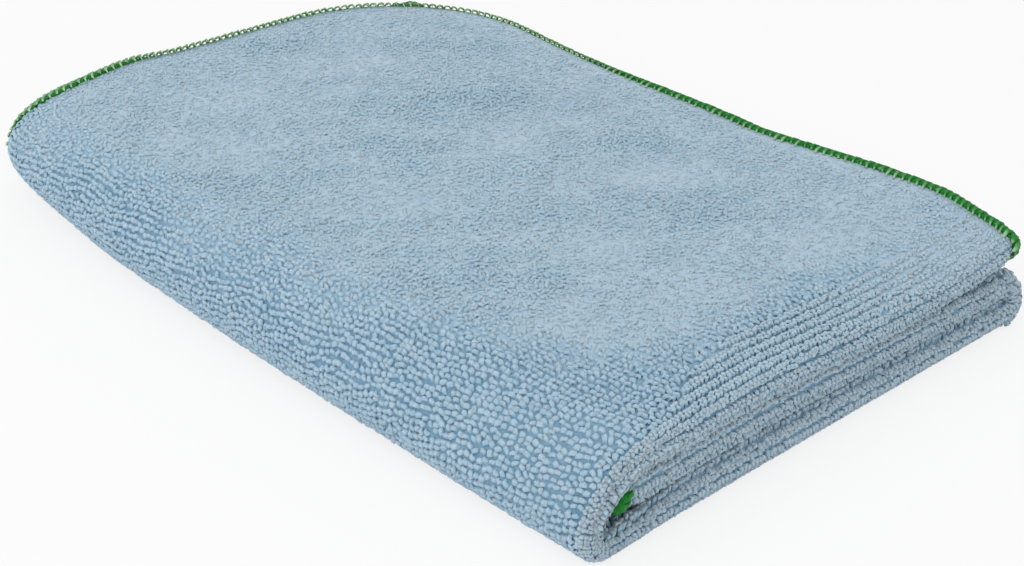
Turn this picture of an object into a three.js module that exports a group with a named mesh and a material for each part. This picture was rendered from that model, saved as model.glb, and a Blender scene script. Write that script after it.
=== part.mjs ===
// A folded terry hand towel with an overlocked edge, in millimetres, +Z up.
//
// One square of looped terry with rounded corners is folded in half, and the doubled strip is
// then folded in thirds. -Y is the side of the first fold, where three doubled ridges lie on
// each other. -X is the big wrap, where the strip turns down from the top third to the bottom
// third. +X has the free end of the top third over the small turn back into the middle third,
// whose own free end is tucked inside the wrap. +Y has the free long edges. The towel rests on
// the flat underside of its bottom third, at z = 0.
//
// Every point of the cloth is named by where it is on the flat cloth: along, from the free end
// of the top third to the tucked end, and across, from the first fold to the long edges. place()
// folds that point into space, so the cloth and its edging share one shape.

import * as THREE from 'three';

// The cloth as it is cut
const CLOTH = 400; // side of the square
const CUT_RADIUS = 44; // its rounded corners
const PLY = 2.6; // thickness of one layer with its pile

// The stack as it is folded
const PITCH = 3.4; // from the middle of one layer to the middle of the next
const WIDTH = 138.4; // from the big wrap to the free end of the top third
const WRAP_UPPER = 13.5; // how far the big wrap reaches sideways, above its widest point
const WRAP_LOWER = 6.6; // the same, below its widest point
const WRAP_WIDEST = 0.415; // height of the widest point, as a share of the wrap
const RETURN_REACH = 3.4; // how far the small turn reaches sideways
const INNER_RECESS = 1.5; // the ridge of the middle third lies this far inside the others
const HALF_DEPTH = 100; // from the middle of the stack to its ridge or its long edges, roughly

// The overlocked thread round the edge
const EDGE_GAP = 0.45; // from the cloth's rim to the thread
const EDGE_REACH = 1.35; // half width of the band of thread, along the cloth
const EDGE_THICK = 1.15; // half thickness of the band of thread, through the cloth

// Height of the stack over the four corners of its outline
const CORNER_HEIGHTS = [
  { x: -1, y: -1, height: 25.2 }, // big wrap, first fold
  { x: 1, y: -1, height: 17.6 }, // free end, first fold
  { x: -1, y: 1, height: 22.4 }, // big wrap, long edges
  { x: 1, y: 1, height: 17.4 }, // free end, long edges
];

// How the folded outline strays from a rectangle
const WRAP_BOW = 2.9; // the wrap bulges out between its ends
const WRAP_SKEW = -0.35; // the wrap's line turns by this at its ends
const END_SKEW = 2.3; // the free end's line turns by this at its ends
const END_SETBACK = 4.1; // the free end lies this far inside WIDTH
const LONG_EDGE_SKEW = 0.7; // the long edges' line turns by this at its ends

// The corner between the wrap and the long edges is pinched thin and curls up a little
const PINCH = 0.35; // share of the height that is lost at the corner
const PINCH_RADIUS = 45;
const CURL = 4.4; // height of the corner's underside
const CURL_RADIUS = 55;
const WRAP_END_RADIUS = 28; // rounding of the wrap's line at that corner
const WRAP_END_ROUNDING = 0.26; // share of that rounding which is kept

// The corner between the wrap and the first fold is low, and its upper layers lie back
const FRONT_PINCH = 0.18; // share of the height that is lost at the corner
const FRONT_PINCH_RADIUS = 58;
const FRONT_LEAN = 8.6; // how far the top layer lies back there

// The first fold is pressed thinner where it goes round the wrap
const PRESSED = 0.3; // share of its thickness that is lost
const PRESSED_ACROSS = 42;

// The tucked end is pushed into the wrap next to the first fold
const TUCK = 2.2;
const TUCK_ALONG = 40;
const TUCK_ACROSS = 30;

// The small turn sticks out a little from under the free end of the top third
const RETURN_OUT = 1.8;
const RETURN_OUT_ALONG = 30;

// The top third stands off the one below at its free end, near the first fold
const LIFT = 4.5;
const LIFT_ALONG = 60;
const LIFT_ACROSS = 80;

// The free end of the top third: drawn in at the first fold, and wavy along its length
const END_DRAW = 4.2;
const END_DRAW_ACROSS = 26;
const RIDGE_END = 1.6; // the end of its ridge is rounded off by this much more
const RIDGE_END_ACROSS = 8;
const END_SOFT = 45; // the waves and the draw fade out over this length of cloth
const END_WAVES = [
  { across: 35, reach: 45, out: 2.2, up: 1.4 },
  { across: 132, reach: 48, out: -1.2, up: -0.5 },
];

// Broad soft swells and hollows of the top, which fade to nothing at the underside
const SWELLS = [
  { x: 26, y: 40, reachX: 34, reachY: 24, rise: 1.2 },
  { x: 36, y: 12, reachX: 30, reachY: 20, rise: -1.1 },
  { x: 22, y: -8, reachX: 38, reachY: 16, rise: 1.0 },
  { x: 42, y: -24, reachX: 30, reachY: 16, rise: -0.9 },
  { x: -14, y: 12, reachX: 30, reachY: 26, rise: 0.8 },
  { x: 2, y: -46, reachX: 34, reachY: 20, rise: -0.8 },
  { x: -46, y: 30, reachX: 26, reachY: 30, rise: -0.7 },
  { x: 12, y: 74, reachX: 40, reachY: 20, rise: -0.9 },
  { x: -36, y: -36, reachX: 26, reachY: 30, rise: 0.9 },
];

// The middle of the settled outline, which becomes the origin
const MIDDLE = { x: -0.218, y: 2.648 };

// How finely the pieces are cut into facets
const CUT_CORNER_STEPS = 6;
const WRAP_UPPER_STEPS = 7;
const WRAP_LOWER_STEPS = 6;
const RETURN_STEPS = 9;
const FOLD_STEPS = 8;
const PANEL_STEP = 17; // length of a facet where the cloth is nearly flat
const NEAR_FOLD = 30; // facets are shorter up to this distance from the first fold
const NEAR_FOLD_STEPS = 3;
const PATH_STEPS = 24; // points on each curve of the strip's path
const EDGE_SIDES = 8; // sides of the thread band's section

const FOLD_RADIUS = PITCH / 2; // of the first fold, at the middle of the layer
const FOLD_REACH = (FOLD_RADIUS * Math.PI) / 2; // cloth taken by half of the first fold
const STACK = 5 * PITCH + PLY; // height of six layers before they settle
const DEPTH = CLOTH / 2 - FOLD_REACH + FOLD_RADIUS + PLY / 2;
const EDGE_MIDDLE = EDGE_GAP + EDGE_REACH; // from the cloth's rim to the band's middle
const PAST_END = 10; // the path runs on this far past the cloth, for the edging

const clamp = THREE.MathUtils.clamp;
const lerp = THREE.MathUtils.lerp;

// 1 at the middle of a swell and 0 from its rim outwards, with no kink at either
function swell(distance) {
  return Math.max(1 - distance * distance, 0) ** 2;
}

// The path of the doubled strip seen from the first fold: points with the outward normal, and
// the length of cloth up to each one. Outward is up on the top third and down on the bottom one.
function stripPath() {
  const low = PLY / 2 + PITCH / 2;
  const middle = low + 2 * PITCH;
  const high = low + 4 * PITCH;
  const widest = lerp(low, high, WRAP_WIDEST);
  const left = (PITCH + PLY - WIDTH) / 2;
  const right = -left;
  const points = [];
  const add = (x, z, nx, nz) => {
    const size = Math.hypot(nx, nz);
    points.push({ x, z, nx: nx / size, nz: nz / size });
  };
  add(WIDTH / 2 + PAST_END, high, 0, 1);
  add(WIDTH / 2, high, 0, 1);
  for (let i = 0; i <= PATH_STEPS; i++) {
    const turn = (Math.PI / 2) * (i / PATH_STEPS);
    const [c, s] = [Math.cos(turn), Math.sin(turn)];
    const rise = high - widest;
    add(left + WRAP_UPPER * (1 - s), widest + rise * c, -rise * s, WRAP_UPPER * c);
  }
  for (let i = 1; i <= PATH_STEPS; i++) {
    const turn = (Math.PI / 2) * (i / PATH_STEPS);
    const [c, s] = [Math.cos(turn), Math.sin(turn)];
    const rise = widest - low;
    add(left + WRAP_LOWER * (1 - c), widest - rise * s, -rise * c, -WRAP_LOWER * s);
  }
  for (let i = 0; i <= 2 * PATH_STEPS; i++) {
    const turn = (Math.PI / 2) * (i / PATH_STEPS);
    const [c, s] = [Math.cos(turn), Math.sin(turn)];
    add(right - RETURN_REACH * (1 - s), low + PITCH * (1 - c), PITCH * s, -RETURN_REACH * c);
  }
  let along = -PAST_END;
  points.forEach((point, i) => {
    const before = points[Math.max(i - 1, 0)];
    along += Math.hypot(point.x - before.x, point.z - before.z);
    point.along = along;
  });
  add(points.at(-1).x - (CLOTH + PAST_END - along), middle, 0, 1);
  points.at(-1).along = CLOTH + PAST_END;
  return points;
}

const PATH = stripPath();
const WRAP_START = PATH[2].along;
const WRAP_SIDE = PATH[2 + PATH_STEPS].along;
const WRAP_END = PATH[2 + 2 * PATH_STEPS].along;
const RETURN_START = PATH[3 + 2 * PATH_STEPS].along;
const RETURN_END = PATH[3 + 4 * PATH_STEPS].along;

// A point of the path with its outward normal
function stripAt(along) {
  let i = 1;
  while (i < PATH.length - 1 && PATH[i].along < along) i++;
  const [a, b] = [PATH[i - 1], PATH[i]];
  const share = (along - a.along) / (b.along - a.along);
  const [nx, nz] = [lerp(a.nx, b.nx, share), lerp(a.nz, b.nz, share)];
  const size = Math.hypot(nx, nz);
  return { x: lerp(a.x, b.x, share), z: lerp(a.z, b.z, share), nx: nx / size, nz: nz / size };
}

// The uneven way in which the tidy stack settles
function settle(x, y, z, along, across) {
  const sideways = x / (WIDTH / 2);
  const back = y / HALF_DEPTH;
  const wrapShare = clamp((1 - sideways) / 2, 0, 1.2);
  const endShare = clamp((1 + sideways) / 2, 0, 1.2);
  const fromCurl = Math.hypot(x + WIDTH / 2, y - HALF_DEPTH);
  const fromFront = Math.hypot(x + WIDTH / 2, y + HALF_DEPTH);

  let height = 0;
  for (const corner of CORNER_HEIGHTS) {
    height += (corner.height * (1 + corner.x * sideways) * (1 + corner.y * back)) / 4;
  }
  height *= 1 - PINCH * swell(fromCurl / PINCH_RADIUS);
  height *= 1 - FRONT_PINCH * swell(fromFront / FRONT_PINCH_RADIUS);
  let up = (z * height) / STACK + CURL * swell(fromCurl / CURL_RADIUS);
  for (const row of SWELLS) {
    const distance = Math.hypot((x - row.x) / row.reachX, (y - row.y) / row.reachY);
    up += row.rise * swell(distance) * (z / STACK) ** 2;
  }

  const pastRound = clamp(y - (HALF_DEPTH - WRAP_END_RADIUS), 0, WRAP_END_RADIUS);
  const rounding = WRAP_END_RADIUS - Math.sqrt(WRAP_END_RADIUS ** 2 - pastRound ** 2);
  let out = wrapShare * (WRAP_SKEW * back + WRAP_BOW * (back * back - 1 / 3));
  out += wrapShare ** 2 * WRAP_END_ROUNDING * rounding;
  out += endShare * (END_SKEW * back - END_SETBACK);
  const frontShare = clamp((1 - back) / 2, 0, 1.2) ** 2;
  out += wrapShare ** 3 * frontShare * FRONT_LEAN * (z / STACK);
  const pastReturn = Math.max(RETURN_START - along, along - RETURN_END, 0);
  out += RETURN_OUT * swell(pastReturn / RETURN_OUT_ALONG);
  const tucked = THREE.MathUtils.smoothstep(along, CLOTH - TUCK_ALONG, CLOTH);
  out -= TUCK * tucked * swell(across / TUCK_ACROSS);

  const lift = clamp(1 - along / LIFT_ALONG, 0, 1) * clamp(1 - Math.abs(across) / LIFT_ACROSS, 0, 1);
  up += LIFT * lift ** 2;
  const nearEnd = clamp(1 - along / END_SOFT, 0, 1) ** 2;
  for (const wave of END_WAVES) {
    const share = nearEnd * swell((Math.abs(across) - wave.across) / wave.reach);
    out += wave.out * share;
    up += wave.up * share;
  }
  out -= END_DRAW * nearEnd * swell(across / END_DRAW_ACROSS);
  out -= RIDGE_END * nearEnd * swell(across / RIDGE_END_ACROSS);

  const inner = THREE.MathUtils.smoothstep(along, RETURN_START, RETURN_END);
  const edges = LONG_EDGE_SKEW * sideways * clamp((1 + back) / 2, 0, 1.2);
  return new THREE.Vector3(x + out - MIDDLE.x, y + edges + INNER_RECESS * inner - MIDDLE.y, up);
}

// Share of the first fold's thickness that is lost at a point of the cloth
function pressed(along, across) {
  const onto = THREE.MathUtils.smoothstep(along, WRAP_START - 14, WRAP_START + 5);
  const off = THREE.MathUtils.smoothstep(along, WRAP_END - 3, WRAP_END + 20);
  return PRESSED * onto * (1 - off) * swell(across / PRESSED_ACROSS);
}

// Folds one point of the cloth into space. above is its distance from the middle of the layer,
// towards the face that shows.
function place(along, across, above) {
  const strip = stripAt(along);
  const turn = clamp(across / FOLD_RADIUS, -Math.PI / 2, Math.PI / 2);
  const flat = Math.max(Math.abs(across) - FOLD_REACH, 0);
  const kept = 1 - pressed(along, across);
  const outside = FOLD_RADIUS + PLY / 2;
  const radius = (FOLD_RADIUS + above) * kept;
  const out = radius * Math.sin(turn) + outside * (1 - kept);
  const y = outside * kept - radius * Math.cos(turn) + flat - DEPTH / 2;
  return settle(strip.x + strip.nx * out, y, strip.z + strip.nz * out, along, across);
}

// Half the cloth's width at a station along it, less at the rounded corners
function halfWidth(along) {
  const intoCorner = Math.max(Math.abs(along - CLOTH / 2) - (CLOTH / 2 - CUT_RADIUS), 0);
  return CLOTH / 2 - CUT_RADIUS + Math.sqrt(CUT_RADIUS ** 2 - intoCorner ** 2);
}

// Evenly spaced stations after start, up to and with end
function stations(start, end, steps) {
  return Array.from({ length: steps }, (_, i) => lerp(start, end, (i + 1) / steps));
}

// Stations along the cloth: close at the cut corners and the turns, wide on the thirds
function stationsAlong() {
  const corner = Array.from({ length: CUT_CORNER_STEPS + 1 }, (_, i) => {
    const angle = (Math.PI / 2) * (i / CUT_CORNER_STEPS);
    return CUT_RADIUS * (1 - Math.cos(angle));
  });
  const panel = (start, end) => stations(start, end, Math.round((end - start) / PANEL_STEP));
  return [
    ...corner,
    ...panel(CUT_RADIUS, WRAP_START),
    ...stations(WRAP_START, WRAP_SIDE, WRAP_UPPER_STEPS),
    ...stations(WRAP_SIDE, WRAP_END, WRAP_LOWER_STEPS),
    ...panel(WRAP_END, RETURN_START),
    ...stations(RETURN_START, RETURN_END, RETURN_STEPS),
    ...panel(RETURN_END, CLOTH - CUT_RADIUS),
    ...corner.slice(0, -1).reverse().map((along) => CLOTH - along),
  ];
}

// Stations across the cloth, from one long edge to the other, as distances from the first fold
// that are stretched past the middle of each half to follow the cut corners
const ACROSS = (() => {
  const half = CLOTH / 2;
  const plain = [
    ...stations(FOLD_REACH, NEAR_FOLD, NEAR_FOLD_STEPS),
    ...stations(NEAR_FOLD, half, Math.round((half - NEAR_FOLD) / PANEL_STEP)),
  ];
  const fold = stations(-FOLD_REACH, FOLD_REACH, FOLD_STEPS);
  return [...plain.map((across) => -across).reverse(), -FOLD_REACH, ...fold, ...plain];
})();

function acrossAt(along, across) {
  const half = CLOTH / 2;
  const kept = half / 2; // nearer the fold than this, the stations stay straight
  const past = Math.max(Math.abs(across) - kept, 0) / (half - kept);
  return Math.sign(across) * (Math.min(Math.abs(across), kept) + past * (halfWidth(along) - kept));
}

// A closed solid from rings or sheets of points: triangles are added two by two, by index
function solidGeometry(points, faces) {
  const geometry = new THREE.BufferGeometry();
  geometry.setAttribute(
    'position',
    new THREE.Float32BufferAttribute(points.flatMap((p) => [p.x, p.y, p.z]), 3),
  );
  geometry.setIndex(faces.flatMap(([a, b, c, d]) => [a, b, c, a, c, d]));
  geometry.computeVertexNormals();
  return geometry;
}

// The one folded layer of cloth: its two faces, joined round the rim
function clothGeometry() {
  const alongs = stationsAlong();
  const [rows, columns] = [alongs.length, ACROSS.length];
  const points = [];
  for (const above of [PLY / 2, -PLY / 2]) {
    for (const along of alongs) {
      for (const across of ACROSS) points.push(place(along, acrossAt(along, across), above));
    }
  }
  const shown = (i, j) => i * columns + j;
  const hidden = (i, j) => rows * columns + i * columns + j;
  const faces = [];
  for (let i = 0; i + 1 < rows; i++) {
    for (let j = 0; j + 1 < columns; j++) {
      faces.push([shown(i, j), shown(i, j + 1), shown(i + 1, j + 1), shown(i + 1, j)]);
      faces.push([hidden(i, j), hidden(i + 1, j), hidden(i + 1, j + 1), hidden(i, j + 1)]);
    }
  }
  for (let i = 0; i + 1 < rows; i++) {
    const far = columns - 1;
    faces.push([shown(i, 0), shown(i + 1, 0), hidden(i + 1, 0), hidden(i, 0)]);
    faces.push([shown(i + 1, far), shown(i, far), hidden(i, far), hidden(i + 1, far)]);
  }
  for (let j = 0; j + 1 < columns; j++) {
    const far = rows - 1;
    faces.push([shown(0, j + 1), shown(0, j), hidden(0, j), hidden(0, j + 1)]);
    faces.push([shown(far, j), shown(far, j + 1), hidden(far, j + 1), hidden(far, j)]);
  }
  return solidGeometry(points, faces);
}

// The cloth's outline as it is cut, with the direction that points off the cloth at each point
function outline() {
  const alongs = stationsAlong();
  const straight = CLOTH / 2 - CUT_RADIUS;
  const longEdge = alongs.map((along) => {
    const width = halfWidth(along);
    const fromMiddle = along - CLOTH / 2;
    const intoCorner = Math.max(Math.abs(fromMiddle) - straight, 0) * Math.sign(fromMiddle);
    const offAlong = intoCorner / CUT_RADIUS;
    return { along, across: width, offAlong, offAcross: (width - straight) / CUT_RADIUS };
  });
  const shortEdge = ACROSS.slice(1, -1).map((across) => acrossAt(0, across));
  const mirrored = longEdge.map((p) => ({ ...p, across: -p.across, offAcross: -p.offAcross }));
  const tucked = { along: CLOTH, offAlong: 1, offAcross: 0 };
  const topEnd = { along: 0, offAlong: -1, offAcross: 0 };
  return [
    ...longEdge,
    ...shortEdge.toReversed().map((across) => ({ ...tucked, across })),
    ...mirrored.reverse(),
    ...shortEdge.map((across) => ({ ...topEnd, across })),
  ];
}

// The overlocked thread: a closed band just off the rim of the cloth, all the way round
function edgingGeometry() {
  const points = [];
  const rings = outline();
  for (const ring of rings) {
    for (let k = 0; k < EDGE_SIDES; k++) {
      const angle = (2 * Math.PI * k) / EDGE_SIDES;
      const off = EDGE_MIDDLE + EDGE_REACH * Math.cos(angle);
      const along = ring.along + ring.offAlong * off;
      const across = ring.across + ring.offAcross * off;
      points.push(place(along, across, EDGE_THICK * Math.sin(angle)));
    }
  }
  const faces = [];
  for (let i = 0; i < rings.length; i++) {
    const here = i * EDGE_SIDES;
    const next = ((i + 1) % rings.length) * EDGE_SIDES;
    for (let k = 0; k < EDGE_SIDES; k++) {
      const after = (k + 1) % EDGE_SIDES;
      faces.push([here + k, next + k, next + after, here + after]);
    }
  }
  return solidGeometry(points, faces);
}

function piece(name, geometry, material) {
  const mesh = new THREE.Mesh(geometry, new THREE.MeshStandardMaterial(material));
  mesh.name = name;
  return mesh;
}

const towel = new THREE.Group();
towel.add(
  piece('terry_cloth', clothGeometry(), { color: 0x9eb7c7, roughness: 0.95, metalness: 0 }),
  piece('overlock_edging', edgingGeometry(), { color: 0x1d8a1b, roughness: 0.7, metalness: 0 }),
);

export default towel;
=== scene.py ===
"""A folded terry hand towel with an overlocked edge, made loop by loop and stitch by stitch.

The cloth is a 400 mm square of microfibre terry with rounded corners. It is folded in half and
then in thirds. Every point of it is named by where it is on the flat cloth: along, from the free
end of the top third to the tucked end, across, from the first fold to the long edges, and above,
its height over the middle of the layer on the face that shows. place() folds such a point into
space, so the knitted ground, its loops and the thread all follow the same folds. Lengths are in
millimetres up to place(), which gives metres.
"""

import math

import bpy
import numpy as np
from bpy.props import FloatProperty, FloatVectorProperty, IntProperty, PointerProperty
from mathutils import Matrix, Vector


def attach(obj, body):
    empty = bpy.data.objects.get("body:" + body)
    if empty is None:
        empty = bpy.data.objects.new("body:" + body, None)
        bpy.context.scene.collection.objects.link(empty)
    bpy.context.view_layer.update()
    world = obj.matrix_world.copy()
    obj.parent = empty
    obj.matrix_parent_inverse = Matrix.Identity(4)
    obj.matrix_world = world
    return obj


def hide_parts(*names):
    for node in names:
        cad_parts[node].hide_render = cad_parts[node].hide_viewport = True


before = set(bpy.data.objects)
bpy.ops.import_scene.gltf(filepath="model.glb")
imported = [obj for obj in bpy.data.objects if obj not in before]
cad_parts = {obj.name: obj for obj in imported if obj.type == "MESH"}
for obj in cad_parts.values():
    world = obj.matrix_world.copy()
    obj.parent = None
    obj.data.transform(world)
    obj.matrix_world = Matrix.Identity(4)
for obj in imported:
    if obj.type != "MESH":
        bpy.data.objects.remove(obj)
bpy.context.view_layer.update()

bl_info = {
    "name": "Folded terry hand towel",
    "version": (1, 0, 0),
    "blender": (4, 5, 0),
    "location": "View3D > Sidebar > Towel",
    "description": "Makes a folded terry hand towel from its ground cloth, loops and overlock",
    "category": "Object",
}

BODY = "root"
MM = 0.001
TERRY = "Microfibre terry, warp-knitted and brushed"

# The cloth as it is cut
CLOTH = 400.0
CUT_RADIUS = 44.0
PLY = 2.6

# The stack as it is folded
PITCH = 3.4  # from ply to ply
WIDTH = 138.4
WRAP_UPPER = 13.5  # how far the wrap rounds outwards above its widest part
WRAP_LOWER = 6.6  # and below it
WRAP_WIDEST = 0.415  # height of that part, as a share of the wrap's
RETURN_REACH = 3.4  # the same for the small turn, between the hidden thirds
INNER_RECESS = 1.5  # how far the tucked third lies back from the first fold
HALF_DEPTH = 100.0

# Height of the stack over the four corners of its outline: x side, y side, height
CORNER_HEIGHTS = ((-1, -1, 25.2), (1, -1, 17.6), (-1, 1, 22.4), (1, 1, 17.4))

# How the folded outline strays from a rectangle
WRAP_BOW = 2.9
WRAP_SKEW = -0.35
END_SKEW = 2.3
END_SETBACK = 4.1
LONG_EDGE_SKEW = 0.7

# The corner between the wrap and the long edges
PINCH = 0.35
PINCH_RADIUS = 45.0
CURL = 4.4
CURL_RADIUS = 55.0
WRAP_END_RADIUS = 28.0
WRAP_END_ROUNDING = 0.26

# The corner between the wrap and the first fold is rounded off, and its upper layers lie back
FRONT_PINCH = 0.18
FRONT_PINCH_RADIUS = 58.0
FRONT_LEAN = 8.6

# The tucked end is pushed into the wrap next to the first fold
TUCK = 2.2
TUCK_ALONG = 40.0
TUCK_ACROSS = 30.0

# The small turn sticks out a little from under the free end of the top third
RETURN_OUT = 1.8
RETURN_OUT_ALONG = 30.0

# The free end of the top third
LIFT = 4.5
LIFT_ALONG = 60.0
LIFT_ACROSS = 80.0
END_DRAW = 4.2
END_DRAW_ACROSS = 26.0
END_SOFT = 45.0
END_WAVES = (  # across, reach, out, up
    (35, 45, 2.2, 1.4),
    (132, 48, -1.2, -0.5),
)

# Broad soft swells and hollows of the top: x, y, reach along x, reach along y, rise
SWELLS = (
    (26, 40, 34, 24, 1.2),
    (36, 12, 30, 20, -1.1),
    (22, -8, 38, 16, 1.0),
    (42, -24, 30, 16, -0.9),
    (-14, 12, 30, 26, 0.8),
    (2, -46, 34, 20, -0.8),
    (-46, 30, 26, 30, -0.7),
    (12, 74, 40, 20, -0.9),
    (-36, -36, 26, 30, 0.9),
)

# The first fold is pressed thinner where it goes round the wrap
PRESSED = 0.3  # share of its thickness that is lost
PRESSED_ACROSS = 42.0

# The ridge's end under the edge of the top third is rounded off in plan
RIDGE_END = 1.6
RIDGE_END_ACROSS = 8.0

MIDDLE_X = -0.218  # middle of the outline as folded, which is set on the origin
MIDDLE_Y = 2.648
PATH_STEPS = 24  # in a quarter of a turn
PAST_END = 10.0  # how far the path goes on beyond the cloth, for the stitches

FOLD_RADIUS = PITCH / 2
FOLD_REACH = FOLD_RADIUS * math.pi / 2
STACK = 5 * PITCH + PLY
DEPTH = CLOTH / 2 - FOLD_REACH + FOLD_RADIUS + PLY / 2

# The knitted ground, and the matted fibre that is drawn with it
GROUND_HALF = 0.15  # half its thickness
NAP = 0.56  # thickness of the fibre between the loops where they are brushed
NAP_SWING = 0.35  # the share less of it where the nap stands up, and more where it lies flat
FEET = 0.25  # thickness of the loops' feet where they are not brushed
MATTED = 0.6  # how much of the longer pile in the slots is matted, as a share of its length
# Painted shade: the ground's colour follows the loops' ramp, dark where its tone is low
NAP_TONE = 0.75  # how pale each is, from 0 at the root of a loop to 1 at its crown
FEET_TONE = 0.07
MATTED_TONE = 0.5

# The loops: half their width, half their thickness, and half the span of their feet
ROW_LOOP = (0.60, 0.46, 0.55)
BRUSHED_LOOP = (0.47, 0.36, 0.57)
FOLD_LOOP = (0.55, 0.36, 0.32)
FOOT_ANGLE = 0.12  # how far up its arch a loop leaves the ground, in radians
BLUNT = 0.75  # thickness of the yarn at its feet, as a share of that at its crown

# The rows in which they stand
FOLD_ROWS = (0.0, 1.42, 2.97, 5.5, 8.0, 10.5, 13.0)  # rows along the first fold, by across
FOLD_PAIR = 0.38  # each is a pair of fine rows, this far to either side of its middle
FOLD_STRETCH = 1.76  # how far the turn of the fold spreads its outer face
TOP_BAND = 14.5  # how far those rows reach over the top third
WRAP_BAND = 4.3  # the same over the wrap
LOW_BAND = 11.2  # the same under the towel
ROW_SLANT = 0.13  # the rows run this much aslant over the wrap, down towards the long edges
BAND_GAP = 1.1  # from the last of those rows to the rows of the panels

# The slots between the thirds beside the first fold, in which the loops are longer
FLUFF = 1.2  # how much longer
SLOT_MIDDLE = 1.7  # where they are longest, in radii of the fold across
SLOT_REACH = 2.6  # how far to either side of that they are longer, in the same measure
OPEN_SHARE = 0.1  # the share of that length on the faces that no slot covers
WRAP_SHARE = 1.3  # and inside the wrap
WRAP_SLOT = 22.0  # how far across the wrap's slot reaches

# What is drawn of the pile
FLOOR_CLEAR = 0.02
RIM_CLEAR = 1.0  # the pile stops this far inside the cut edge, under the stitches
GROUND_CLEAR = 0.5  # and the matted fibre this far
RIM_DEPTH = 6.0  # the hidden faces are covered this far in from the edges
POCKET_DEPTH = 20.0  # and this far in from the first fold
TURN_DEPTH = 12.0  # and this far in past the small turn
MOST_QUADS = 95000  # in one piece of the pile

# Patches of the top's nap, which run aslant over the towel: x, y, reach along, reach aside, and
# how far the loops stand up (above 0) or are stroked flat (below 0). Standing patches are painted
# darker and flat ones paler: painted shade and painted light on the nap
PATCH_SLANT = math.radians(-42)
PATCHES = (
    (10, 85, 12, 6, 0.6),
    (43, 57, 16, 6, 0.8),
    (33, 20, 18, 8, 1.0),
    (12, 31, 12, 7, 0.7),
    (-4, 17, 12, 8, 0.6),
    (38, -15, 24, 6, 0.7),
    (22, -46, 20, 8, 0.8),
    (-43, 22, 16, 8, 0.7),
    (-36, -44, 22, 7, 0.6),
    (-10, -20, 14, 7, 0.5),
    (-28, -93, 14, 8, 0.5),
    (-19, 63, 14, 10, -0.6),
    (16, 63, 12, 6, -0.7),
    (-35, 41, 12, 8, -0.7),
    (13, 5, 16, 6, -0.7),
    (-25, -3, 18, 8, -0.8),
    (28, -29, 14, 5, -0.6),
    (35, -78, 20, 10, -0.8),
    (-30, -67, 14, 8, -0.6),
    (-3, -72, 16, 8, -0.6),
    (-9, -44, 14, 6, -0.5),
)

# The overlock: each stitch is two strands that wrap the edge. Seen along the edge: how far off
# the cut edge, above the layer, along the edge in stitches, and half the strand's thickness
NEEDLE_STRAND = (
    (-1.9, 1.05, -0.46, 0.14),
    (-1.1, 1.42, -0.30, 0.38),
    (0.1, 1.35, -0.10, 0.52),
    (1.15, 0.70, 0.14, 0.56),
    (1.45, -0.25, 0.38, 0.52),
    (0.7, -1.05, 0.60, 0.44),
    (-0.8, -1.35, 0.82, 0.30),
)
LOOPER_STRAND = (
    (-0.9, -1.20, 0.00, 0.28),
    (0.8, -1.00, 0.20, 0.46),
    (1.5, -0.15, 0.40, 0.56),
    (1.25, 0.80, 0.62, 0.58),
    (0.3, 1.30, 0.82, 0.52),
    (-1.0, 1.32, 0.98, 0.30),
)
STRAND_SIDES = 5
TOOTH = (0.9, 1.9)  # how far in from the edge the thread begins to pale, and is palest
CORE_MIDDLE = 0.3  # the threads that lie along the edge under the stitches
CORE_OFF = 1.6
CORE_ABOVE = 1.45
CORE_RINGS = 640
CORE_SIDES = 6

# Round the far corner of the top third the thread is thin, and pale fibre comes through it. Each
# comes and goes between two distances round the rim from the end of that corner
SLIM_STRETCH = ((-125, -85), (40, 75))
PALE_STRETCH = ((-125, -60), (110, 160))
SLIM_STRAND = 0.5  # share of its thickness that a strand loses
SLIM_CORE = 0.75
PALE = 0.45  # share of the paler colour

STRAIGHT = CLOTH - 2 * CUT_RADIUS
SIDE = STRAIGHT + CUT_RADIUS * math.pi / 2
RIM_LENGTH = 4 * SIDE


def linear(code):
    """An sRGB hex colour as linear RGBA."""
    shares = [int(code[i : i + 2], 16) / 255 for i in (1, 3, 5)]
    return (*(c / 12.92 if c <= 0.04045 else ((c + 0.055) / 1.055) ** 2.4 for c in shares), 1.0)


def length(name, description, default):
    return FloatProperty(
        name=name, description=description, default=default, unit="LENGTH", precision=5
    )


def colour(name, description, code):
    return FloatVectorProperty(
        name=name, description=description, default=linear(code),
        subtype="COLOR", size=4, min=0, max=1,
    )


class TowelPile(bpy.types.PropertyGroup):
    """Sizes and colours of the terry loops"""

    loop_pitch: length("Loop pitch", "From loop to loop along a row", 0.0014)
    wrap_rows: length("Rows over the wrap", "From row to row where the fold opens them", 0.00142)
    low_rows: length("Rows of the underside", "From row to row where the towel rests", 0.0028)
    nap_pitch: length("Brushed pitch", "From loop to loop where they are brushed", 0.00122)
    fold_pitch: length("Loop pitch on the fold", "From loop to loop along the first fold", 0.00102)
    # Painted highlight and painted shade: pale tips at the loops' crowns, darker and bluer roots and
    # deep colour down between the loops
    tips: colour("Tips", "Colour of the loops' crowns", "#afc9dc")
    roots: colour("Flanks", "Colour half way down between the loops", "#8cb2ca")
    deep: colour("Roots", "Colour deep between the loops", "#6b96b3")
    seed: IntProperty(name="Seed", description="Chooses how the loops stray", default=7)


class TowelOverlock(bpy.types.PropertyGroup):
    """Size and colours of the overlocked edge"""

    stitch: length("Stitch", "From stitch to stitch along the edge", 0.00195)
    edge_colour: colour("Thread", "Colour of the thread at the edge", "#158b2d")
    tooth_colour: colour("Thread over the pile", "Colour where fibre shows through", "#b2dbab")
    deep_colour: colour("Thread in shade", "Colour between the filaments", "#0b661e")


class TowelStage(bpy.types.PropertyGroup):
    """Light on the towel"""

    fill: FloatProperty(name="Fill", description="Strength of the even light", default=0.78, min=0)
    key: FloatProperty(name="Key", description="Power of the softbox at the left", default=2.65, min=0)
    front: FloatProperty(name="Front", description="Power of the softbox in front", default=1.1, min=0)


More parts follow.
